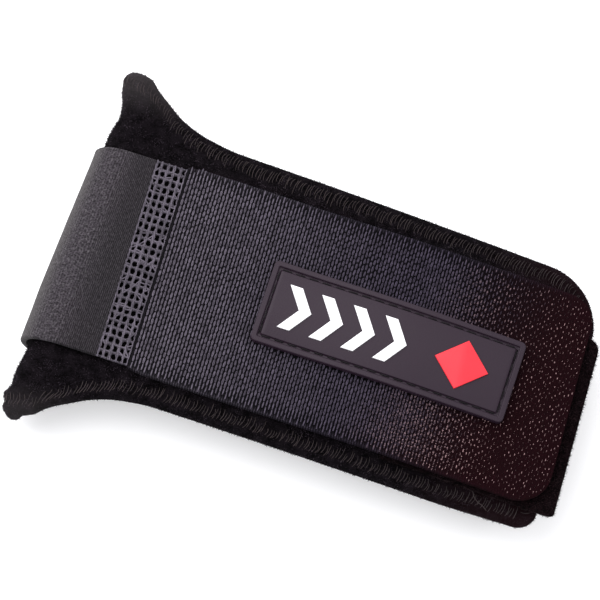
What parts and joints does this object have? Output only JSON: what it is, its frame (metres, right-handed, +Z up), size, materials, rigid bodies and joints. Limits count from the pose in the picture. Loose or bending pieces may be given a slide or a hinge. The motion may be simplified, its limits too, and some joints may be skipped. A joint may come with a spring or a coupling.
{
  "type": "tennis elbow strap",
  "caption": "Padded forearm band closed into a flattened loop, with an elastic strap round its fold, an open-work ladder, a hook tab and a rubber label.",
  "frame": {"origin": "middle of the object's extent, on the ground it lies on", "axes": "+X along the strap towards its free end, +Y across it to the far edge of the picture, +Z up"},
  "size_m": [0.126, 0.086, 0.0216],
  "materials": {
    "cuff_plush": "black brushed plush knit over soft foam, overlocked along its edge",
    "smooth_tape": "fine plain-woven elastic tape, dark grey",
    "ladder_net": "open-work elastic with rows of small gaps",
    "coarse_web": "coarse ribbed elastic web, dark grey with a violet tint",
    "hook_pile": "black hook fastener tape",
    "label_rubber": "soft moulded rubber, satin dark grey",
    "white_rubber": "soft moulded rubber, satin white",
    "red_rubber": "soft moulded rubber, satin red"
  },
  "bodies": {
    "root": {"cuff": "cuff_plush", "fold_tape": "smooth_tape", "ladder_band": "ladder_net", "elastic_web": "coarse_web", "hook_tab": "hook_pile", "label_patch": "label_rubber", "label_chevron_1": "white_rubber", "label_chevron_2": "white_rubber", "label_chevron_3": "white_rubber", "label_chevron_4": "white_rubber", "label_lozenge": "red_rubber"}
  },
  "joints": []
}
